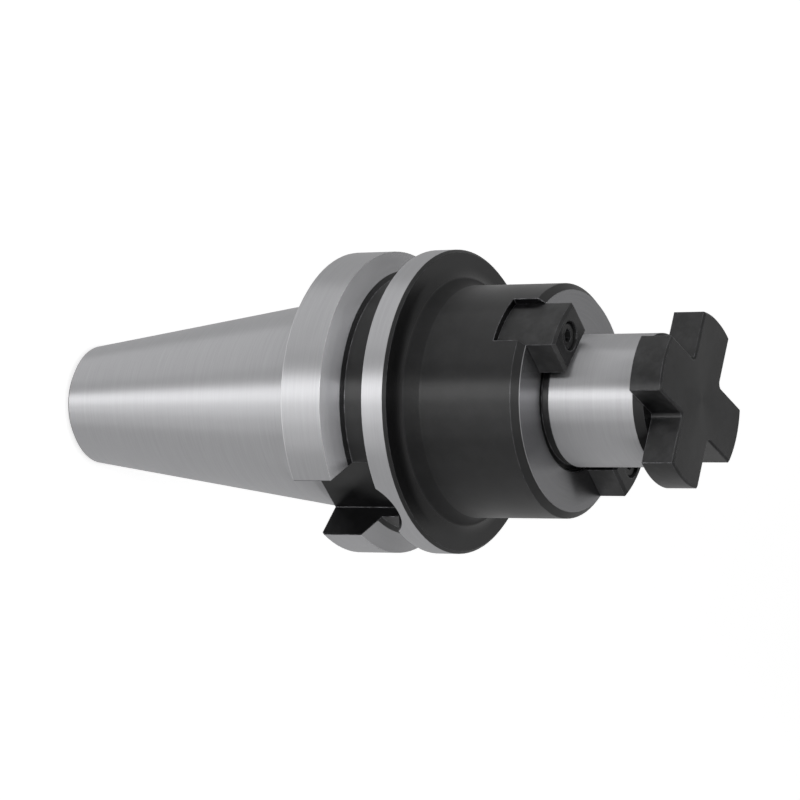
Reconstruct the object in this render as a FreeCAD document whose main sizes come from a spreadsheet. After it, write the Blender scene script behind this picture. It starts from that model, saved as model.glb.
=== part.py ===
import FreeCAD, Part
import os
import Sketcher

# Shell mill holder with a 7/24 taper shank, in millimetres.
# The origin is the middle of the gauge plane, where the taper has its nominal diameter.
# +Z runs along the tool axis, from the taper to the pilot that carries the cutter.
# The two drive slots lie on the X axis and the two drive keys on the Y axis.

# Name, size in millimetres or degrees, and what it measures.
SIZE_LIST = (
    ("gaugeDiameter", 44.45, "taper at the gauge plane"),
    ("taperLength", 65.4, "gauge plane to the small end"),
    ("taperRise", 7, "taper's change of diameter for each taperRun of length"),
    ("taperRun", 24, "length in which the diameter changes by taperRise"),
    ("smallEndEdge", 1, "chamfer at the small end"),
    ("studThread", 16, "pull stud thread's diameter"),
    ("studThreadDepth", 32, "small end to the last of the pull stud thread"),
    ("studRecessStep", 1, "plain recess ahead of the pull stud thread, over the thread's diameter"),
    ("studRecessDepth", 9, "depth of the plain recess"),
    ("studMouthEdge", 1.5, "chamfer at the recess mouth"),
    ("coolantBore", 8, "bore that joins the two threads"),
    ("flangeDiameter", 63, "gripper flange"),
    ("flangeRear", 2, "gauge plane to the flange's rear face"),
    ("flangeWidth", 25, "flange's rear face to its front face"),
    ("flangeEdge", 0.6, "chamfer on both rims of the flange"),
    ("frontRim", 5.4, "flange's front face to the mouth of the gripper groove"),
    ("grooveMouth", 10, "width of the groove at the flange's diameter"),
    ("grooveDepth", 5, "groove into the flange"),
    ("grooveAngle", 60, "angle between the groove's walls"),
    ("slotWidth", 16.1, "drive slots"),
    ("slotStep", 0.375, "a drive slot's floor over the taper's radius at the gauge plane"),
    ("slotWall", 2.5, "round end of a drive slot to the flange's front face"),
    ("bossDiameter", 48, "boss between flange and cutter seat"),
    ("bossRootRadius", 4, "fillet between flange and boss"),
    ("bossRootFlat", 0.1, "least flat face left between that fillet and the flange's rim"),
    ("bossEdge", 1.4, "chamfer round the cutter seat"),
    ("seatPlane", 53, "gauge plane to the cutter seat"),
    ("pilotDiameter", 27, "pilot that centres the cutter"),
    ("pilotLength", 22, "cutter seat to the pilot's end"),
    ("pilotEdge", 1.6, "chamfer at the pilot's end"),
    ("reliefWidth", 1.5, "grinding relief along the pilot"),
    ("reliefDepth", 0.5, "grinding relief into the pilot"),
    ("reliefReach", 1, "grinding relief outwards into the seat"),
    ("reliefSink", 0.4, "grinding relief below the seat"),
    ("boltThread", 12, "retaining screw's thread diameter"),
    ("boltClearance", 0.05, "radial play of the screw in its hole"),
    ("boltSpare", 5, "hole left below the screw's end"),
    ("boltMouthEdge", 0.8, "chamfer at the mouth of the screw's hole"),
    ("drillPoint", 118, "point angle left by the drill in a blind hole"),
    ("keyWidth", 12, "drive keys"),
    ("keyProud", 6.3, "key's height over the cutter seat"),
    ("keySink", 7, "key's depth in the boss"),
    ("keyGap", 0.6, "pilot to the key's flat inner end"),
    ("keyEdge", 0.6, "chamfer round the key's top"),
    ("keyBoltThread", 3, "key screw's thread diameter"),
    ("keyBoltLength", 12, "key screw below its head"),
    ("keyBoltHead", 5.5, "key screw's head diameter"),
    ("keyBoltHeadHeight", 3, "key screw's head height"),
    ("keyBoltHexagon", 2.5, "hexagon socket across its flats"),
    ("keyBoltHexagonDepth", 1.5, "hexagon socket's depth"),
    ("keyBoltEdge", 0.3, "chamfers on the key screw"),
    ("keyBoltClearance", 0.25, "radial play of the key screw in the key"),
    ("keyBoltPlay", 0.05, "radial play of the key screw in the boss"),
    ("keyBoltSpare", 2, "hole left below the key screw's end"),
    ("keyBoltRecessDepth", 3.5, "counterbore in the key"),
    ("headDiameter", 35.5, "retaining screw's head over its four arms"),
    ("headHeight", 7, "retaining screw's head"),
    ("armWidth", 12, "each arm of the head"),
    ("armCornerRadius", 1, "rounding between two arms"),
    ("armEdge", 0.4, "chamfer round the head's front face"),
    ("shankLength", 22, "retaining screw below its head"),
    ("shankEdge", 1.2, "chamfer at the screw's end"),
    ("neckDepth", 1, "thread run-out below the head, into the screw"),
    ("neckLength", 2, "thread run-out below the head, along the screw"),
    ("armTurn", 18.9, "turn of the tightened screw's first arm from the X axis"),
    ("toolRunOut", 2, "how far a cutting tool passes beyond the stock"),
)

doc = FreeCAD.newDocument("ShellMillHolder")
sheet = doc.addObject("Spreadsheet::Sheet", "Sizes")
for row, (alias, size, meaning) in enumerate(SIZE_LIST, start=1):
    sheet.set(f"A{row}", meaning)
    sheet.set(f"B{row}", str(size))
    sheet.setAlias(f"B{row}", alias)
doc.recompute()


def dim(text):
    # Writes the aliases in a rule as references to the sheet: @pilotLength becomes Sizes.pilotLength.
    return text.replace("@", "Sizes.")


def origin_part(body, role):
    for part in body.Origin.OriginFeatures:
        if part.Role == role:
            return part
    raise ValueError(role)


def new_body(name):
    body = doc.addObject("PartDesign::Body", name)
    body.Label = name
    return body


def outline(body, name, role, corners, offset=None, half_circle=None):
    # A closed outline on one of the body's own planes, of straight lines, apart from the edge
    # whose number half_circle gives. Each corner is a pair of rules, so that it follows the sheet.
    sketch = body.newObject("Sketcher::SketchObject", name)
    sketch.AttachmentSupport = (origin_part(body, role), [""])
    sketch.MapMode = "FlatFace"
    if offset:
        sketch.setExpression("AttachmentOffset.Base.z", dim(offset))
    count = len(corners)
    start = [FreeCAD.Vector(*(sketch.evalExpression(dim(rule)) for rule in rules)) for rules in corners]
    for number in range(count):
        following = start[(number + 1) % count]
        if number == half_circle:
            middle = (start[number] + following) / 2
            ring = Part.Circle(middle, FreeCAD.Vector(0, 0, 1), (following - middle).Length)
            ends = (ring.parameter(start[number]), ring.parameter(following))
            sketch.addGeometry(Part.ArcOfCircle(ring, *ends))
        else:
            sketch.addGeometry(Part.LineSegment(start[number], following))
    for number in range(count):
        sketch.addConstraint(Sketcher.Constraint("Coincident", number, 2, (number + 1) % count, 1))
    for number, rules in enumerate(corners):
        for kind, begin, rule in zip(("DistanceX", "DistanceY"), (start[number].x, start[number].y), rules):
            place = sketch.addConstraint(Sketcher.Constraint(kind, number, 1, begin))
            sketch.setExpression(f"Constraints[{place}]", dim(rule))
    if half_circle is not None:
        # The arc's middle lies level with its two ends.
        place = sketch.addConstraint(Sketcher.Constraint("DistanceY", half_circle, 3, start[half_circle].y))
        sketch.setExpression(f"Constraints[{place}]", dim(corners[half_circle][1]))
    return sketch


def turned(body, name, corners):
    # Stock turned about the body's Z axis; corners are (radius, height).
    sketch = outline(body, name + "_outline", "XZ_Plane", corners)
    feature = body.newObject("PartDesign::Revolution", name)
    feature.Profile = sketch
    feature.ReferenceAxis = (sketch, ["V_Axis"])
    doc.recompute()
    return feature


def volume_removed(body, feature, before):
    doc.recompute()
    removed = before - body.Shape.Volume
    if removed <= 0:
        raise ValueError(f"{feature.Name} cuts nothing")
    print(f"{feature.Name}: {removed:.1f} mm3 removed")


def turned_out(body, name, corners, offset=None):
    # A turned cut; corners are (radius, height) about the Z axis, or about a line parallel to it
    # that lies at the offset from the XZ plane.
    before = body.Shape.Volume
    sketch = outline(body, name + "_outline", "XZ_Plane", corners, offset)
    feature = body.newObject("PartDesign::Groove", name)
    feature.Profile = sketch
    feature.ReferenceAxis = (sketch, ["V_Axis"])
    volume_removed(body, feature, before)
    return feature


def milled_out(body, name, role, corners, offset, depth, towards_normal=False, half_circle=None):
    before = body.Shape.Volume
    sketch = outline(body, name + "_outline", role, corners, offset, half_circle)
    feature = body.newObject("PartDesign::Pocket", name)
    feature.Profile = sketch
    feature.Type = "Length"
    feature.Reversed = towards_normal
    feature.setExpression("Length", dim(depth))
    volume_removed(body, feature, before)
    return feature


def repeat_round_axis(body, name, feature, count):
    pattern = body.newObject("PartDesign::PolarPattern", name)
    pattern.Originals = [feature]
    pattern.Axis = (origin_part(body, "Z_Axis"), [""])
    pattern.Angle = 360
    pattern.Occurrences = count
    body.Tip = pattern
    doc.recompute()
    return pattern


def edge_names(shape, wanted):
    return [f"Edge{number}" for number, edge in enumerate(shape.Edges, start=1) if wanted(edge)]


def dressed(body, kind, name, wanted, rule):
    # A fillet or chamfer on the edges of the body's last feature that the test picks.
    base = body.Tip
    names = edge_names(base.Shape, wanted)
    if not names:
        raise ValueError(f"{name} finds no edge")
    feature = body.newObject("PartDesign::" + kind, name)
    feature.Base = (base, names)
    feature.setExpression("Radius" if kind == "Fillet" else "Size", dim(rule))
    doc.recompute()
    return feature


def near(first, second):
    return abs(first - second) < 1e-4


def lies_at(edge, height):
    # Whether an edge lies in the horizontal plane at that height.
    return near(edge.BoundBox.ZMin, height) and near(edge.BoundBox.ZMax, height)


def size_of(alias):
    return float(getattr(sheet, alias))


# Heights over the gauge plane.
FLANGE_FRONT = "(@flangeRear + @flangeWidth)"
GROOVE_MIDDLE = f"({FLANGE_FRONT} - @frontRim - @grooveMouth / 2)"
PILOT_END = "(@seatPlane + @pilotLength)"
KEY_TOP = "(@seatPlane + @keyProud)"
KEY_BOTTOM = "(@seatPlane - @keySink)"
# Distances from the tool axis. The keys end where the chamfer round the seat begins, and each
# key screw stands in the middle of its key.
SLOT_FLOOR = "(@gaugeDiameter / 2 + @slotStep)"
KEY_INNER = "(@pilotDiameter / 2 + @keyGap)"
KEY_OUTER = "(@bossDiameter / 2 - @bossEdge)"
KEY_BOLT_MIDDLE = f"({KEY_INNER} + {KEY_OUTER}) / 2"


def holder_body():
    # One piece of steel: taper shank, gripper flange, boss and pilot.
    body = new_body("holder_body")
    small_radius = "(@gaugeDiameter - @taperLength * @taperRise / @taperRun) / 2"
    turned(body, "turned_stock", (
        ("0", "-@taperLength"),
        (small_radius + " - @smallEndEdge", "-@taperLength"),
        (small_radius + " + @smallEndEdge * @taperRise / @taperRun / 2", "-@taperLength + @smallEndEdge"),
        ("@gaugeDiameter / 2", "0"),
        ("@gaugeDiameter / 2", "@flangeRear"),
        ("@flangeDiameter / 2 - @flangeEdge", "@flangeRear"),
        ("@flangeDiameter / 2", "@flangeRear + @flangeEdge"),
        ("@flangeDiameter / 2", FLANGE_FRONT + " - @flangeEdge"),
        ("@flangeDiameter / 2 - @flangeEdge", FLANGE_FRONT),
        ("@bossDiameter / 2", FLANGE_FRONT),
        ("@bossDiameter / 2", "@seatPlane - @bossEdge"),
        ("@bossDiameter / 2 - @bossEdge", "@seatPlane"),
        ("@pilotDiameter / 2", "@seatPlane"),
        ("@pilotDiameter / 2", PILOT_END + " - @pilotEdge"),
        ("@pilotDiameter / 2 - @pilotEdge", PILOT_END),
        ("0", PILOT_END),
    ))

    def boss_root(edge):
        return lies_at(edge, size_of("flangeRear") + size_of("flangeWidth")) and near(
            edge.BoundBox.XMax, size_of("bossDiameter") / 2)

    room = "(@flangeDiameter - @bossDiameter) / 2 - @flangeEdge - @bossRootFlat"
    dressed(body, "Fillet", "boss_root_fillet", boss_root, f"min(@bossRootRadius; {room})")

    half_floor = "(@grooveMouth / 2 - @grooveDepth * tan(@grooveAngle / 2 * 1 deg))"
    half_mouth = "(@grooveMouth / 2 + @toolRunOut * tan(@grooveAngle / 2 * 1 deg))"
    turned_out(body, "gripper_groove", (
        ("@flangeDiameter / 2 - @grooveDepth", f"{GROOVE_MIDDLE} - {half_floor}"),
        ("@flangeDiameter / 2 + @toolRunOut", f"{GROOVE_MIDDLE} - {half_mouth}"),
        ("@flangeDiameter / 2 + @toolRunOut", f"{GROOVE_MIDDLE} + {half_mouth}"),
        ("@flangeDiameter / 2 - @grooveDepth", f"{GROOVE_MIDDLE} + {half_floor}"),
    ))
    turned_out(body, "pilot_relief", (
        ("@pilotDiameter / 2 - @reliefDepth", "@seatPlane - @reliefSink"),
        ("@pilotDiameter / 2 + @reliefReach - @reliefSink", "@seatPlane - @reliefSink"),
        ("@pilotDiameter / 2 + @reliefReach", "@seatPlane"),
        ("@pilotDiameter / 2 + @reliefReach", "@seatPlane + @reliefWidth"),
        ("@pilotDiameter / 2", "@seatPlane + @reliefWidth"),
        ("@pilotDiameter / 2 - @reliefDepth", "@seatPlane + @reliefWidth - @reliefDepth"),
    ))
    point_rise = "/ tan(@drillPoint / 2 * 1 deg)"
    recess = "(@studThread + @studRecessStep) / 2"
    turned_out(body, "pull_stud_hole", (
        ("0", "-@taperLength"),
        (recess + " + @studMouthEdge", "-@taperLength"),
        (recess, "-@taperLength + @studMouthEdge"),
        (recess, "-@taperLength + @studRecessDepth"),
        ("@studThread / 2", "-@taperLength + @studRecessDepth"),
        ("@studThread / 2", "-@taperLength + @studThreadDepth"),
        ("0", f"-@taperLength + @studThreadDepth + @studThread / 2 {point_rise}"),
    ))
    bolt_hole = "@boltThread / 2 + @boltClearance"
    hole_end = f"{PILOT_END} - @shankLength - @boltSpare"
    turned_out(body, "retaining_screw_hole", (
        ("0", PILOT_END),
        (bolt_hole + " + @boltMouthEdge", PILOT_END),
        (bolt_hole, PILOT_END + " - @boltMouthEdge"),
        (bolt_hole, hole_end),
        ("0", f"{hole_end} - ({bolt_hole}) {point_rise}"),
    ))
    turned_out(body, "coolant_bore", (
        ("0", "-@taperLength"),
        ("@coolantBore / 2", "-@taperLength"),
        ("@coolantBore / 2", PILOT_END),
        ("0", PILOT_END),
    ))

    round_start = FLANGE_FRONT + " - @slotWall - @slotWidth / 2"
    slot = milled_out(body, "drive_slot", "YZ_Plane", (
        ("-@slotWidth / 2", "@flangeRear - @toolRunOut"),
        ("@slotWidth / 2", "@flangeRear - @toolRunOut"),
        ("@slotWidth / 2", round_start),
        ("-@slotWidth / 2", round_start),
    ), SLOT_FLOOR, f"@flangeDiameter / 2 - {SLOT_FLOOR} + @toolRunOut", towards_normal=True, half_circle=2)
    repeat_round_axis(body, "drive_slots", slot, 2)

    seat = milled_out(body, "key_seat", "XY_Plane", (
        ("-@keyWidth / 2", KEY_INNER),
        ("@keyWidth / 2", KEY_INNER),
        ("@keyWidth / 2", "@bossDiameter / 2 + @toolRunOut"),
        ("-@keyWidth / 2", "@bossDiameter / 2 + @toolRunOut"),
    ), "@seatPlane", "@keySink")
    repeat_round_axis(body, "key_seats", seat, 2)

    hole_radius = "@keyBoltThread / 2 + @keyBoltPlay"
    hole_bottom = KEY_TOP + " - @keyBoltRecessDepth - @keyBoltLength - @keyBoltSpare"
    tapped = turned_out(body, "key_screw_hole", (
        ("0", KEY_BOTTOM),
        (hole_radius, KEY_BOTTOM),
        (hole_radius, hole_bottom),
        ("0", f"{hole_bottom} - ({hole_radius}) {point_rise}"),
    ), f"-{KEY_BOLT_MIDDLE}")
    repeat_round_axis(body, "key_screw_holes", tapped, 2)
    return body


def drive_key(name, turn):
    # A hardened block, seated in the boss and turned to its round outer end.
    body = new_body(name)
    block = outline(body, "block_outline", "XY_Plane", (
        ("-@keyWidth / 2", KEY_INNER),
        ("@keyWidth / 2", KEY_INNER),
        ("@keyWidth / 2", KEY_OUTER),
        ("-@keyWidth / 2", KEY_OUTER),
    ), KEY_BOTTOM)
    pad = body.newObject("PartDesign::Pad", "block")
    pad.Profile = block
    pad.setExpression("Length", dim("@keySink + @keyProud"))
    doc.recompute()
    turned_out(body, "round_end", (
        (KEY_OUTER, KEY_BOTTOM),
        (KEY_OUTER + " + @keyWidth", KEY_BOTTOM),
        (KEY_OUTER + " + @keyWidth", KEY_TOP),
        (KEY_OUTER, KEY_TOP),
    ))

    def top_edge(edge):
        return lies_at(edge, size_of("seatPlane") + size_of("keyProud"))

    dressed(body, "Chamfer", "top_chamfer", top_edge, "@keyEdge")
    head_hole = "@keyBoltHead / 2 + @keyBoltClearance"
    shank_hole = "@keyBoltThread / 2 + @keyBoltClearance"
    turned_out(body, "screw_hole", (
        ("0", KEY_TOP),
        (head_hole, KEY_TOP),
        (head_hole, KEY_TOP + " - @keyBoltRecessDepth"),
        (shank_hole, KEY_TOP + " - @keyBoltRecessDepth"),
        (shank_hole, KEY_BOTTOM),
        ("0", KEY_BOTTOM),
    ), f"-{KEY_BOLT_MIDDLE}")
    body.Placement = FreeCAD.Placement(FreeCAD.Vector(), FreeCAD.Rotation(FreeCAD.Vector(0, 0, 1), turn))
    return body


def key_screw(name, side):
    # A socket head cap screw, whose own origin is the middle of its head's underside.
    body = new_body(name)
    turned(body, "turned_screw", (
        ("0", "-@keyBoltLength"),
        ("@keyBoltThread / 2 - @keyBoltEdge", "-@keyBoltLength"),
        ("@keyBoltThread / 2", "-@keyBoltLength + @keyBoltEdge"),
        ("@keyBoltThread / 2", "0"),
        ("@keyBoltHead / 2", "0"),
        ("@keyBoltHead / 2", "@keyBoltHeadHeight - @keyBoltEdge"),
        ("@keyBoltHead / 2 - @keyBoltEdge", "@keyBoltHeadHeight"),
        ("0", "@keyBoltHeadHeight"),
    ))
    half = "@keyBoltHexagon / 2"
    corner = "@keyBoltHexagon / sqrt(3)"
    milled_out(body, "hexagon_socket", "XY_Plane", (
        (corner, "0"),
        (corner + " / 2", half),
        (f"-({corner}) / 2", half),
        (f"-({corner})", "0"),
        (f"-({corner}) / 2", f"-({half})"),
        (corner + " / 2", f"-({half})"),
    ), "@keyBoltHeadHeight", "@keyBoltHexagonDepth")
    body.setExpression("Placement.Base.y", dim(f"{side} * {KEY_BOLT_MIDDLE}"))
    body.setExpression("Placement.Base.z", dim(KEY_TOP + " - @keyBoltRecessDepth"))
    return body


def retaining_screw():
    # The screw that holds the cutter; its own origin is the middle of its head's underside.
    body = new_body("retaining_screw")
    turned(body, "turned_screw", (
        ("0", "-@shankLength"),
        ("@boltThread / 2 - @shankEdge", "-@shankLength"),
        ("@boltThread / 2", "-@shankLength + @shankEdge"),
        ("@boltThread / 2", "-@neckLength - @neckDepth"),
        ("@boltThread / 2 - @neckDepth", "-@neckLength"),
        ("@boltThread / 2 - @neckDepth", "0"),
        ("@headDiameter / 2", "0"),
        ("@headDiameter / 2", "@headHeight"),
        ("0", "@headHeight"),
    ))
    quarter = milled_out(body, "quarter_cut", "XY_Plane", (
        ("@armWidth / 2", "@armWidth / 2"),
        ("@headDiameter / 2 + @toolRunOut", "@armWidth / 2"),
        ("@headDiameter / 2 + @toolRunOut", "@headDiameter / 2 + @toolRunOut"),
        ("@armWidth / 2", "@headDiameter / 2 + @toolRunOut"),
    ), "@headHeight", "@headHeight")
    repeat_round_axis(body, "four_arms", quarter, 4)

    def arm_corner(edge):
        box = edge.BoundBox
        half = size_of("armWidth") / 2
        upright = near(box.XMin, box.XMax) and near(box.YMin, box.YMax) and box.ZLength > 1e-3
        return upright and near(abs(box.XMin), half) and near(abs(box.YMin), half)

    dressed(body, "Fillet", "arm_corners", arm_corner, "@armCornerRadius")

    def front_edge(edge):
        return lies_at(edge, size_of("headHeight"))

    dressed(body, "Chamfer", "arm_chamfer", front_edge, "@armEdge")
    body.Placement = FreeCAD.Placement(FreeCAD.Vector(), FreeCAD.Rotation(FreeCAD.Vector(0, 0, 1), 1))
    body.setExpression("Placement.Rotation.Angle", dim("@armTurn * 1 deg"))
    body.setExpression("Placement.Base.z", dim(PILOT_END))
    return body


pieces = [
    holder_body(),
    drive_key("drive_key_a", 0),
    drive_key("drive_key_b", 180),
    key_screw("key_screw_a", 1),
    key_screw("key_screw_b", -1),
    retaining_screw(),
]
doc.recompute()

for thing in doc.Objects:
    if "Invalid" in thing.State or "Error" in thing.State:
        raise ValueError(f"{thing.Name} failed: {thing.State}")
for piece in pieces:
    if piece.Shape.isNull() or not piece.Shape.isValid():
        raise ValueError(f"{piece.Label} has no valid shape")

os.makedirs("parts", exist_ok=True)
for piece in pieces:
    piece.Shape.exportStep(f"parts/{piece.Label}.step")
    print(f"{piece.Label}: {len(piece.Shape.Solids)} solid, {piece.Shape.Volume:.1f} mm3")
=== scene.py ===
import bpy
import math
from mathutils import Matrix, Vector


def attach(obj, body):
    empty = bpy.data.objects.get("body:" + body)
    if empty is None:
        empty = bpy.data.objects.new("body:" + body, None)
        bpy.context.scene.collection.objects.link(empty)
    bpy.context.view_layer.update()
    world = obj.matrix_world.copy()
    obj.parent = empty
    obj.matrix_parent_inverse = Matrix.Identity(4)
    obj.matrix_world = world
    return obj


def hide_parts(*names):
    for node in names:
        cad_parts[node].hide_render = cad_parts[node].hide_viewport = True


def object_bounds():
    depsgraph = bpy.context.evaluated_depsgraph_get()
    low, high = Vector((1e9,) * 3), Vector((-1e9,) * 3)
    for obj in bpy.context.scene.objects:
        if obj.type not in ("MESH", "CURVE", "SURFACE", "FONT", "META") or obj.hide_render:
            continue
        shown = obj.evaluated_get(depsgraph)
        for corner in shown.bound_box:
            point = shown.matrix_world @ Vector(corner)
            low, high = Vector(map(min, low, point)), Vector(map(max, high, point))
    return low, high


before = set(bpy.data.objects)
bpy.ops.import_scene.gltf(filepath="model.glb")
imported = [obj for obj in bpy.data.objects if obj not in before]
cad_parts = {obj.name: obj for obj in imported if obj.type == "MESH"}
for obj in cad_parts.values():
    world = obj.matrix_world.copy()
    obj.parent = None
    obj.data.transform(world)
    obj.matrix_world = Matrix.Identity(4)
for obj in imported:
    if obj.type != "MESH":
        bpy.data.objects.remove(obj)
cadBox = [list(corner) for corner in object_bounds()]
mm = 0.001  # sizes below are written in millimetres
nearEnough = 0.001  # points closer than this are one point


def linearColour(hexColour):
    # sRGB hex to the linear values that a shader takes
    shares = [int(hexColour[place:place + 2], 16) / 255 for place in (1, 3, 5)]
    return [s / 12.92 if s <= 0.04045 else ((s + 0.055) / 1.055) ** 2.4 for s in shares] + [1]


def addNode(tree, kind, inputs=None, **settings):
    # One shader node with its settings. An input takes a value or another node's output, and a
    # node stands for its own first output. A Mix node's inputs go by number: 0 is the factor,
    # 2 and 3 are the numbers that it mixes, and 6 and 7 the colours, which leave by output 2.
    node = tree.nodes.new(kind)
    for name, value in settings.items():
        setattr(node, name, value)
    for name, value in (inputs or {}).items():
        if isinstance(value, bpy.types.Node):
            value = value.outputs[0]
        if isinstance(value, bpy.types.NodeSocket):
            tree.links.new(value, node.inputs[name])
        else:
            node.inputs[name].default_value = value
    return node


def newTree(owner):
    owner.use_nodes = True
    owner.node_tree.nodes.clear()
    return owner.node_tree


def selectOnly(piece):
    bpy.ops.object.select_all(action="DESELECT")
    piece.select_set(True)
    bpy.context.view_layer.objects.active = piece


# The three threads are metric and right-handed. A thread's depth, the flat at its root and the gap
# over an inner thread's crest are shares of the pitch, and sunk is how deep its foot lies in the wall.
threadForm = {"angle": 60, "depth": 0.6134, "rootFlat": 0.125, "crestGap": 0.1, "sunk": 0.05,
              "stepsPerTurn": 48, "smoothAngle": 28}


def addHelix(name, foot, tip, widths, pitch, start, turns):
    # A closed ridge that winds right-handed round the tool axis, with its foot and its tip at two
    # radii and its width at each: a plane stood up on the X axis, shaped to the thread's form,
    # wound by the Screw modifier and capped at both ends.
    bpy.ops.object.select_all(action="DESELECT")
    bpy.ops.mesh.primitive_plane_add(size=1, location=((foot + tip) / 2 * mm, 0, start * mm),
                                     rotation=(math.pi / 2, 0, 0))
    ridge = bpy.context.object
    ridge.name = name
    ridge.scale = (abs(tip - foot) * mm, widths[0] * mm, 1)
    bpy.ops.object.transform_apply(location=True, rotation=True, scale=True)
    bpy.ops.object.mode_set(mode="EDIT")
    bpy.ops.mesh.select_all(action="DESELECT")
    bpy.ops.object.mode_set(mode="OBJECT")
    for corner in ridge.data.vertices:
        corner.select = abs(corner.co.x - tip * mm) < nearEnough * mm
    bpy.ops.object.mode_set(mode="EDIT")
    bpy.ops.mesh.select_mode(type="VERT")
    bpy.ops.transform.resize(value=(1, 1, widths[1] / widths[0]), center_override=(tip * mm, 0, start * mm))
    bpy.ops.mesh.select_all(action="SELECT")
    bpy.ops.mesh.delete(type="ONLY_FACE")
    bpy.ops.object.mode_set(mode="OBJECT")
    winding = ridge.modifiers.new("winding", "SCREW")
    winding.angle = 2 * math.pi
    winding.screw_offset = pitch * mm
    winding.iterations = turns
    winding.steps = threadForm["stepsPerTurn"]
    winding.render_steps = threadForm["stepsPerTurn"]
    winding.use_merge_vertices = False
    bpy.ops.object.modifier_apply(modifier="winding")
    bpy.ops.object.mode_set(mode="EDIT")
    bpy.ops.mesh.select_all(action="SELECT")
    bpy.ops.mesh.remove_doubles(threshold=nearEnough * mm)
    bpy.ops.mesh.fill_holes(sides=4)
    bpy.ops.mesh.normals_make_consistent(inside=False)
    bpy.ops.object.mode_set(mode="OBJECT")
    return ridge


def grooveWidth(radius, root, pitch):
    # how wide a screw thread's groove is at a radius, opened from its flat root
    rise = math.tan(math.radians(threadForm["angle"] / 2))
    return threadForm["rootFlat"] * pitch + 2 * (radius - root) * rise


# M12 x 1.75, from below the shank's end up into the neck under the head, where it runs out at
# threadEnd. The groove's root clears the neck, and its cutter reaches past the shank.
retainingScrew = {"thread": 12, "pitch": 1.75, "turns": 14, "threadEnd": 73.95, "neck": 10, "clear": 0.02,
                  "past": 0.25}
screwRoot = retainingScrew["neck"] / 2 + retainingScrew["clear"]
screwStart = retainingScrew["threadEnd"] - retainingScrew["turns"] * retainingScrew["pitch"]


def addThreadedScrew():
    # The screw keeps its solid's shape, and the thread's groove is cut into its plain shank.
    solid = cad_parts["retaining_screw"]
    piece = bpy.data.objects.new("threadedRetainingScrew", solid.data.copy())
    bpy.context.scene.collection.objects.link(piece)
    selectOnly(piece)
    if piece.data.has_custom_normals:
        bpy.ops.mesh.customdata_custom_splitnormals_clear()
    bpy.ops.object.mode_set(mode="EDIT")
    bpy.ops.mesh.select_all(action="SELECT")
    bpy.ops.mesh.remove_doubles(threshold=nearEnough * mm)
    bpy.ops.object.mode_set(mode="OBJECT")
    pitch = retainingScrew["pitch"]
    reach = retainingScrew["thread"] / 2 + retainingScrew["past"]
    widths = [grooveWidth(radius, screwRoot, pitch) for radius in (screwRoot, reach)]
    groove = addHelix("screwThreadGroove", screwRoot, reach, widths, pitch, screwStart,
                      retainingScrew["turns"])
    selectOnly(piece)
    cut = piece.modifiers.new("threadCut", "BOOLEAN")
    cut.operation = "DIFFERENCE"
    cut.solver = "EXACT"
    cut.object = groove
    bpy.ops.object.modifier_apply(modifier="threadCut")
    bpy.data.objects.remove(groove)
    selectOnly(piece)
    bpy.ops.object.shade_smooth_by_angle(angle=math.radians(threadForm["smoothAngle"]))
    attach(piece, "screw")
    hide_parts("retaining_screw")
    return piece


# The pilot's thread is in step with the screw's and has play at each side, so that the screw lies
# in it without touching. The pull stud's is M16 x 2.
pilotBore = {"diameter": 12.1, "play": 0.06, "root": screwRoot, "pitch": retainingScrew["pitch"],
             "start": screwStart, "turns": retainingScrew["turns"]}
pullStudHole = {"diameter": 16, "play": 0, "pitch": 2, "start": -55.9, "turns": 11}
pullStudHole["root"] = pullStudHole["diameter"] / 2 - threadForm["depth"] * pullStudHole["pitch"]


def addInnerThread(name, diameter, play, root, pitch, start, turns):
    # ridges on the wall of a tapped hole, as wide as the screw's groove less the play
    foot = diameter / 2 + threadForm["sunk"]
    crest = root + threadForm["crestGap"] * pitch
    widths = [grooveWidth(radius, root, pitch) - 2 * play for radius in (foot, crest)]
    piece = addHelix(name, foot, crest, widths, pitch, start, turns)
    bpy.ops.object.shade_smooth_by_angle(angle=math.radians(threadForm["smoothAngle"]))
    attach(piece, "holder")
    return piece


print("threads of the retaining screw, the pilot and the pull stud hole")
threadedScrew = addThreadedScrew()
pilotThread = addInnerThread("pilotBoreThread", **pilotBore)
pullStudThread = addInnerThread("pullStudThread", **pullStudHole)

# In the finishes, marks is how far apart grinding or turning marks are drawn, and run how long they
# are. Real ones are finer, about 0.05 and 0.2 mm apart, and are drawn this coarse so that they show.

# Hardened alloy steel, cylindrically ground: bright, with fine marks round the axis that draw a
# highlight out into a line along it. The cutter seat's darker colour is painted shade: a dimmer reflection
# painted into its colour.
groundSteel = {"colour": "#a5a5a7", "seat": "#909092", "roughness": 0.5, "marks": 0.35, "run": 14}
# Hot black oxide over turned steel: a thin, oiled, nearly black skin with a satin sheen, through
# which the turning marks still show. It is mottled, and its corners are worn to the steel.
blackOxide = {"colour": "#050506", "thin": "#0e0e0f", "handled": "#1d1d1e", "worn": "#6a6a6d",
              "roughness": 0.42, "mottle": 3.5, "mottleRange": (0.42, 0.66), "marks": 0.5, "run": 30}
# Both skins are worked round the axis, so one figure serves for how far a highlight is drawn out.
ringFinish = {"anisotropy": 1.0, "turn": 0.25, "specular": 0.38}
# Faces square to the axis and the gripper groove's flanks are turned with a finer feed. squareness
# is how far their normal points along the axis, from where the finer feed begins to where it is full.
faceTurning = {"roughness": 0.24, "squareness": (0.76, 0.85)}
# The fillet at the boss's root is turned with a form tool, which leaves it duller.
filletTurning = {"roughness": 0.62, "height": (27, 30.6)}
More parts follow.
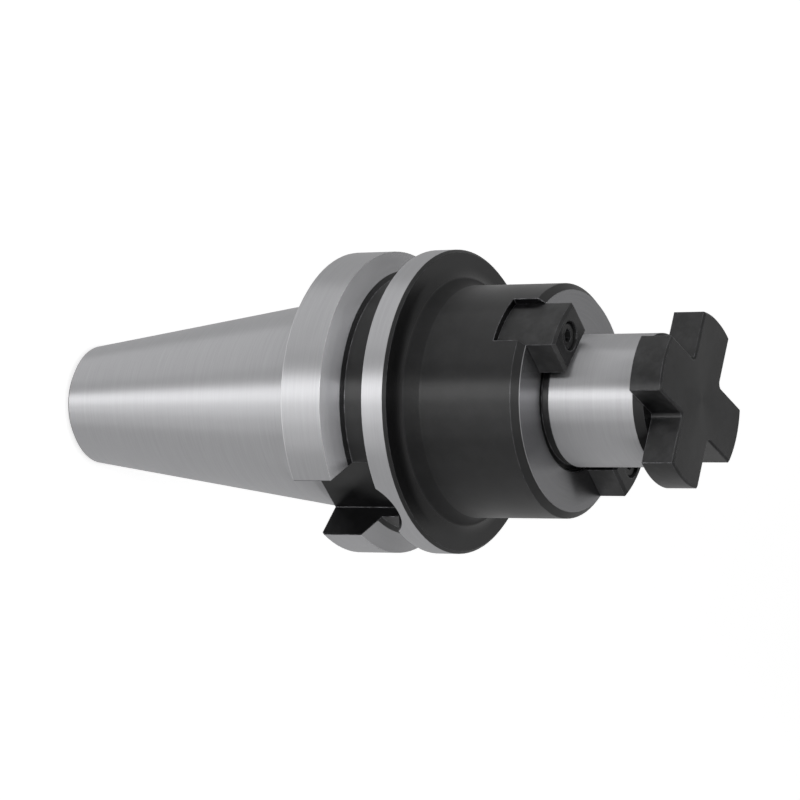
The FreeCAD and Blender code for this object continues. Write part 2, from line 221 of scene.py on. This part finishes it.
# Oil and handling marks come in patches. Corners are worn over the edge's width, from where the
# rounded normal leaves the face's by the first cosine to the second, broken up by the speckle.
handling = {"patch": 12, "edge": 0.35, "wear": (0.985, 0.88), "speckle": 1.5, "speckleRange": (0.3, 0.62)}
# The least share of the colour and of the roughness that is left, and what marks and patches add.
unevenness = {"leastShade": 0.82, "markShade": 0.24, "patchShade": 0.12, "leastRoughness": 0.9,
              "patchRoughness": 0.2, "markHeight": 0.004, "markStrength": 0.25}

# Where the holder keeps its black skin, as limits in millimetres on the measures of a place; the
# rest is ground after blackening.
blackZones = (
    {"height": (26.4, 52.9), "radius": (0, 40)},           # flange front and boss, with their edges
    {"height": (13.5, 19.7), "radius": (22.5, 27.5)},      # gripper groove's floor, 1 mm up its flanks
    {"fromSlot": (-1, 8.12), "outwards": (22.5, 40)},      # drive slots
    {"height": (-80, 74.9), "radius": (0, 9.2)},           # borings and threads
    {"height": (50, 54.5), "radius": (0, 13.46)},          # grinding relief at the pilot's root
    {"height": (73.45, 80), "radius": (0, 40)},            # pilot's end and its edge
    {"height": (-80, -64.45), "radius": (0, 40)},          # small end and its edge
)
# The cutter seat, where the ground steel's colour is darkened: painted shade.
paintedShadeSeatZone = {"height": (52.5, 53.1), "radius": (14.4, 24)}
slotRoundMiddle = 16.45  # height of the middle of a drive slot's round end


def measuresOf(tree):
    # where a point of the tool lies, in metres, and the direction round the tool axis
    place = addNode(tree, "ShaderNodeTexCoord").outputs["Object"]
    parts = addNode(tree, "ShaderNodeSeparateXYZ", {"Vector": place}).outputs
    flat = addNode(tree, "ShaderNodeCombineXYZ", {"X": parts["X"], "Y": parts["Y"]})
    radius = addNode(tree, "ShaderNodeVectorMath", {0: flat}, operation="LENGTH").outputs["Value"]
    outwards = addNode(tree, "ShaderNodeMath", {0: parts["X"]}, operation="ABSOLUTE")
    beyond = addNode(tree, "ShaderNodeMath", {0: parts["Z"], 1: slotRoundMiddle * mm}, operation="SUBTRACT")
    beyond = addNode(tree, "ShaderNodeMath", {0: beyond, 1: 0.0}, operation="MAXIMUM")
    fromMiddle = addNode(tree, "ShaderNodeCombineXYZ", {"X": beyond, "Y": parts["Y"]})
    fromSlot = addNode(tree, "ShaderNodeVectorMath", {0: fromMiddle}, operation="LENGTH").outputs["Value"]
    around = addNode(tree, "ShaderNodeVectorMath", {0: (0, 0, 1), 1: place}, operation="CROSS_PRODUCT")
    return {"place": place, "x": parts["X"], "y": parts["Y"], "height": parts["Z"], "radius": radius,
            "outwards": outwards, "fromSlot": fromSlot, "around": around}


def shareInZones(tree, measures, zones):
    # 1 in any of the zones and 0 outside them all
    share = 0.0
    for zone in zones:
        inside = 1.0
        for measure, (low, high) in zone.items():
            within = addNode(tree, "ShaderNodeMath", {0: measures[measure], 1: (low + high) / 2 * mm,
                                                      2: (high - low) / 2 * mm}, operation="COMPARE")
            inside = addNode(tree, "ShaderNodeMath", {0: inside, 1: within}, operation="MULTIPLY")
        share = addNode(tree, "ShaderNodeMath", {0: share, 1: inside}, operation="MAXIMUM")
    return share


def ringMarks(tree, measures, skin):
    # the marks of a skin, which run round the axis and are spaced along the surface
    across = addNode(tree, "ShaderNodeMath", {0: measures["height"], 1: measures["radius"]}, operation="ADD")
    spacing, run = skin["marks"] * mm, skin["run"] * mm
    stretched = addNode(tree, "ShaderNodeCombineXYZ", {
        "X": addNode(tree, "ShaderNodeMath", {0: measures["x"], 1: run}, operation="DIVIDE"),
        "Y": addNode(tree, "ShaderNodeMath", {0: measures["y"], 1: run}, operation="DIVIDE"),
        "Z": addNode(tree, "ShaderNodeMath", {0: across, 1: spacing}, operation="DIVIDE")})
    return addNode(tree, "ShaderNodeTexNoise", {"Vector": stretched, "Scale": 1, "Detail": 3,
                                                "Roughness": 0.6})


def wornShare(tree, measures, softNormal):
    # 1 where a corner has rubbed through, broken up by a fine speckle
    facing = addNode(tree, "ShaderNodeNewGeometry").outputs["Normal"]
    agreement = addNode(tree, "ShaderNodeVectorMath", {0: softNormal, 1: facing}, operation="DOT_PRODUCT")
    speckle = addNode(tree, "ShaderNodeTexNoise", {"Vector": measures["place"], "Detail": 2,
                                                   "Scale": 1 / (handling["speckle"] * mm)})
    begins, full = handling["wear"]
    corner = addNode(tree, "ShaderNodeMapRange", {"Value": agreement.outputs["Value"], "From Min": begins,
                                                  "From Max": full}, interpolation_type="SMOOTHSTEP")
    low, high = handling["speckleRange"]
    rubbed = addNode(tree, "ShaderNodeMapRange", {"Value": speckle, "From Min": low, "From Max": high})
    return addNode(tree, "ShaderNodeMath", {0: corner, 1: rubbed}, operation="MULTIPLY")


def oxideColour(tree, measures, worn, thin):
    # the black skin's colour: mottled, and the bare steel's where it is worn
    mottle = addNode(tree, "ShaderNodeTexNoise", {"Vector": measures["place"], "Detail": 4, "Roughness": 0.65,
                                                  "Scale": 1 / (blackOxide["mottle"] * mm)})
    low, high = blackOxide["mottleRange"]
    thinShare = addNode(tree, "ShaderNodeMapRange", {"Value": mottle, "From Min": low, "From Max": high})
    skin = addNode(tree, "ShaderNodeMix", {0: thinShare, 6: linearColour(blackOxide["colour"]),
                                           7: linearColour(thin)}, data_type="RGBA").outputs[2]
    return addNode(tree, "ShaderNodeMix", {0: worn, 6: skin, 7: linearColour(blackOxide["worn"])},
                   data_type="RGBA").outputs[2]


def finerOnFaces(tree, turned):
    # the roughness, with the finer feed's on faces square to the axis
    normal = addNode(tree, "ShaderNodeTexCoord").outputs["Normal"]
    facing = addNode(tree, "ShaderNodeSeparateXYZ", {0: normal})
    square = addNode(tree, "ShaderNodeMath", {0: facing.outputs["Z"]}, operation="ABSOLUTE")
    begins, full = faceTurning["squareness"]
    square = addNode(tree, "ShaderNodeMapRange", {"Value": square, "From Min": begins, "From Max": full})
    return addNode(tree, "ShaderNodeMix", {0: square, 2: turned, 3: faceTurning["roughness"]})


def steelSkin(name, zones, thin):
    # Tool steel, black oxide inside the zones and ground outside them; zones None is black all over.
    # thin is the oxide's colour where it is thinnest.
    material = bpy.data.materials.new(name)
    tree = newTree(material)
    measures = measuresOf(tree)
    softNormal = addNode(tree, "ShaderNodeBevel", {"Radius": handling["edge"] * mm}, samples=6)
    worn = wornShare(tree, measures, softNormal)
    patches = addNode(tree, "ShaderNodeTexNoise", {"Vector": measures["place"], "Detail": 3,
                                                   "Scale": 1 / (handling["patch"] * mm)})
    marks = ringMarks(tree, measures, blackOxide)
    colour = oxideColour(tree, measures, worn, thin)
    turned = blackOxide["roughness"]
    black = 1.0
    if zones:
        black = shareInZones(tree, measures, zones)
        # On the cutter seat the steel takes a darker colour: painted shade, a dimmer reflection painted in.
        seat = shareInZones(tree, measures, [paintedShadeSeatZone])
        fillet = shareInZones(tree, measures, [{"height": filletTurning["height"]}])
        groundMarks = ringMarks(tree, measures, groundSteel)
        marks = addNode(tree, "ShaderNodeMix", {0: black, 2: groundMarks, 3: marks})
        steel = addNode(tree, "ShaderNodeMix", {0: seat, 6: linearColour(groundSteel["colour"]),
                                                7: linearColour(groundSteel["seat"])},
                        data_type="RGBA").outputs[2]
        colour = addNode(tree, "ShaderNodeMix", {0: black, 6: steel, 7: colour}, data_type="RGBA").outputs[2]
        turned = addNode(tree, "ShaderNodeMix", {0: black, 2: groundSteel["roughness"], 3: turned})
        turned = addNode(tree, "ShaderNodeMix", {0: fillet, 2: turned, 3: filletTurning["roughness"]})
    oxide = addNode(tree, "ShaderNodeMath", {0: black, 1: worn}, operation="SUBTRACT", use_clamp=True)
    metal = addNode(tree, "ShaderNodeMath", {0: 1.0, 1: oxide}, operation="SUBTRACT")
    shade = addNode(tree, "ShaderNodeMath", {0: marks, 1: unevenness["markShade"],
                                             2: unevenness["leastShade"]}, operation="MULTIPLY_ADD")
    shade = addNode(tree, "ShaderNodeMath", {0: patches, 1: unevenness["patchShade"], 2: shade},
                    operation="MULTIPLY_ADD")
    colour = addNode(tree, "ShaderNodeMix", {0: 1.0, 6: colour, 7: shade}, data_type="RGBA",
                     blend_type="MULTIPLY").outputs[2]
    uneven = addNode(tree, "ShaderNodeMath", {0: patches, 1: unevenness["patchRoughness"],
                                              2: unevenness["leastRoughness"]}, operation="MULTIPLY_ADD")
    roughness = addNode(tree, "ShaderNodeMath", {0: finerOnFaces(tree, turned), 1: uneven},
                        operation="MULTIPLY")
    relief = addNode(tree, "ShaderNodeBump", {"Strength": unevenness["markStrength"], "Height": marks,
                                              "Distance": unevenness["markHeight"] * mm,
                                              "Normal": softNormal})
    shader = addNode(tree, "ShaderNodeBsdfPrincipled", {
        "Base Color": colour, "Metallic": metal, "Roughness": roughness, "Normal": relief,
        "Specular IOR Level": ringFinish["specular"], "Anisotropic": ringFinish["anisotropy"],
        "Anisotropic Rotation": ringFinish["turn"], "Tangent": measures["around"]})
    addNode(tree, "ShaderNodeOutputMaterial", {"Surface": shader})
    return material


print("finishes")
holderSkin = steelSkin("groundAndBlackenedSteel", blackZones, blackOxide["thin"])
blackSkin = steelSkin("blackOxideOnTurnedSteel", None, blackOxide["handled"])
for node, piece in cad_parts.items():
    piece.data.materials[0] = holderSkin if node == "holder_body" else blackSkin
for piece in (threadedScrew, pilotThread, pullStudThread):
    piece.data.materials.clear()
    piece.data.materials.append(blackSkin)

# The floor and the white around the tool. whiteSeen is what the camera and the metal see, where 1
# is white, and lightOnObject is what lights the tool.
studio = {"whiteSeen": 1.0, "lightOnObject": 0.35, "floorRadius": 4000, "paper": 0.8, "floorGlow": 0.68,
          "gap": 0.05}


def seenRays(tree):
    # 1 for the camera and for what metal and glass reflect or pass, 0 for the light on the object
    rays = addNode(tree, "ShaderNodeLightPath").outputs
    seen = addNode(tree, "ShaderNodeMath", {0: rays["Is Camera Ray"], 1: rays["Is Glossy Ray"]},
                   operation="MAXIMUM")
    return addNode(tree, "ShaderNodeMath", {0: seen, 1: rays["Is Transmission Ray"]}, operation="MAXIMUM")


def addFloorAndSurround():
    # To the camera and to what metal reflects, the floor glows up to white. Only part of that white
    # is its glow, so that the object's shadow still shows on it.
    bpy.ops.object.select_all(action="DESELECT")
    bpy.ops.mesh.primitive_circle_add(vertices=96, radius=studio["floorRadius"] * mm, fill_type="NGON",
                                      location=(0, 0, cadBox[0][2] - studio["gap"] * mm))
    floor = bpy.context.object
    floor.name = "studioFloor"
    material = bpy.data.materials.new("whitePaperFloor")
    tree = newTree(material)
    paper = addNode(tree, "ShaderNodeBsdfDiffuse", {"Color": (studio["paper"],) * 3 + (1,)})
    glow = addNode(tree, "ShaderNodeEmission", {"Strength": studio["floorGlow"]})
    white = addNode(tree, "ShaderNodeAddShader", {0: paper, 1: glow})
    mixed = addNode(tree, "ShaderNodeMixShader", {0: seenRays(tree), 1: paper, 2: white})
    addNode(tree, "ShaderNodeOutputMaterial", {"Surface": mixed})
    floor.data.materials.append(material)

    world = bpy.data.worlds.new("whiteStudio")
    bpy.context.scene.world = world
    tree = newTree(world)
    strength = addNode(tree, "ShaderNodeMix", {0: seenRays(tree), 2: studio["lightOnObject"],
                                               3: studio["whiteSeen"]})
    background = addNode(tree, "ShaderNodeBackground", {"Color": (1, 1, 1, 1), "Strength": strength})
    addNode(tree, "ShaderNodeOutputWorld", {"Surface": background})


print("floor and surround")
addFloorAndSurround()

# The photograph looks at the tool from its front, with the tool axis level in the picture. Here and
# below, bearing is in degrees round the tool axis, and tilt in degrees above the floor.
photo = {"bearing": 135, "tilt": 31.165, "distance": 793.97, "aimHeight": 11.66, "aimRise": 0.46,
         "roll": 0.473, "lens": 170.9}


def directionOf(bearing, tilt):
    turn, rise = math.radians(bearing), math.radians(tilt)
    return Vector((math.cos(rise) * math.cos(turn), math.cos(rise) * math.sin(turn), math.sin(rise)))


def facingPlace(across, up, back, middle):
    # the place of a thing that looks against back, from its middle
    place = Matrix((across, up, back)).transposed().to_4x4()
    place.translation = middle
    return place


def addCamera():
    back = directionOf(photo["bearing"], photo["tilt"])
    up = directionOf(photo["bearing"] - 90, 0)
    right = up.cross(back)
    roll = math.radians(photo["roll"])
    turnedUp = up * math.cos(roll) + right * math.sin(roll)
    turnedRight = right * math.cos(roll) - up * math.sin(roll)
    aim = Vector((0, 0, photo["aimHeight"] * mm)) + up * photo["aimRise"] * mm
    data = bpy.data.cameras.new("photoCamera")
    data.sensor_width = 36
    data.lens = photo["lens"]
    data.clip_start = 0.01
    camera = bpy.data.objects.new("photoCamera", data)
    bpy.context.scene.collection.objects.link(camera)
    camera.matrix_world = facingPlace(turnedRight, turnedUp, back, aim + back * photo["distance"] * mm)
    bpy.context.scene.camera = camera


# Softboxes stand round the tool axis, all at one tilt, distance and length. A smaller bearing is
# higher in the picture, and strength is how bright each looks beside the white.
softboxPlace = {"tilt": 6, "distance": 1200, "length": 250}
softboxes = {
    "keySoftbox": {"bearing": 125, "width": 330, "strength": 22.5},
    "nearFill": {"bearing": 141, "width": 330, "strength": 9},
    "lowFill": {"bearing": 158, "width": 370, "strength": 3.6},
    "topSoftbox": {"bearing": 72, "width": 1250, "strength": 3},
}


def addSoftbox(name, bearing, width, strength, tilt, distance, length):
    # a lamp's brightness is its power over pi and its area
    back = directionOf(bearing, tilt)
    across = directionOf(bearing - 90, 0)
    data = bpy.data.lights.new(name, "AREA")
    data.shape = "RECTANGLE"
    data.size = width * mm
    data.size_y = length * mm
    data.energy = strength * math.pi * width * mm * length * mm
    lamp = bpy.data.objects.new(name, data)
    bpy.context.scene.collection.objects.link(lamp)
    middle = back * distance * mm + Vector((0, 0, photo["aimHeight"] * mm))
    lamp.matrix_world = facingPlace(across, back.cross(across), back, middle)
    lamp.visible_camera = False


# A grey card opposite the camera, so that the faces that look forward aren't washed out by the
# white surround. Only reflections see it.
card = {"bearing": 315, "tilt": 34, "distance": 500, "width": 1300, "height": 1150, "shade": 0.52}


def addGreyCard():
    back = directionOf(card["bearing"], card["tilt"])
    across = directionOf(card["bearing"] - 90, 0)
    bpy.ops.object.select_all(action="DESELECT")
    bpy.ops.mesh.primitive_plane_add(size=1)
    board = bpy.context.object
    board.name = "studioGreyCard"
    board.matrix_world = facingPlace(across * card["width"] * mm, back.cross(across) * card["height"] * mm,
                                     back, back * card["distance"] * mm)
    material = bpy.data.materials.new("greyCard")
    tree = newTree(material)
    evenGrey = addNode(tree, "ShaderNodeEmission", {"Strength": card["shade"]})
    addNode(tree, "ShaderNodeOutputMaterial", {"Surface": evenGrey})
    board.data.materials.append(material)
    board.visible_camera = False
    board.visible_diffuse = False
    board.visible_shadow = False


print("camera, softboxes and grey card")
addCamera()
for name, values in softboxes.items():
    addSoftbox(name, **values, **softboxPlace)
addGreyCard()

bpy.context.scene.view_settings.view_transform = "Standard"
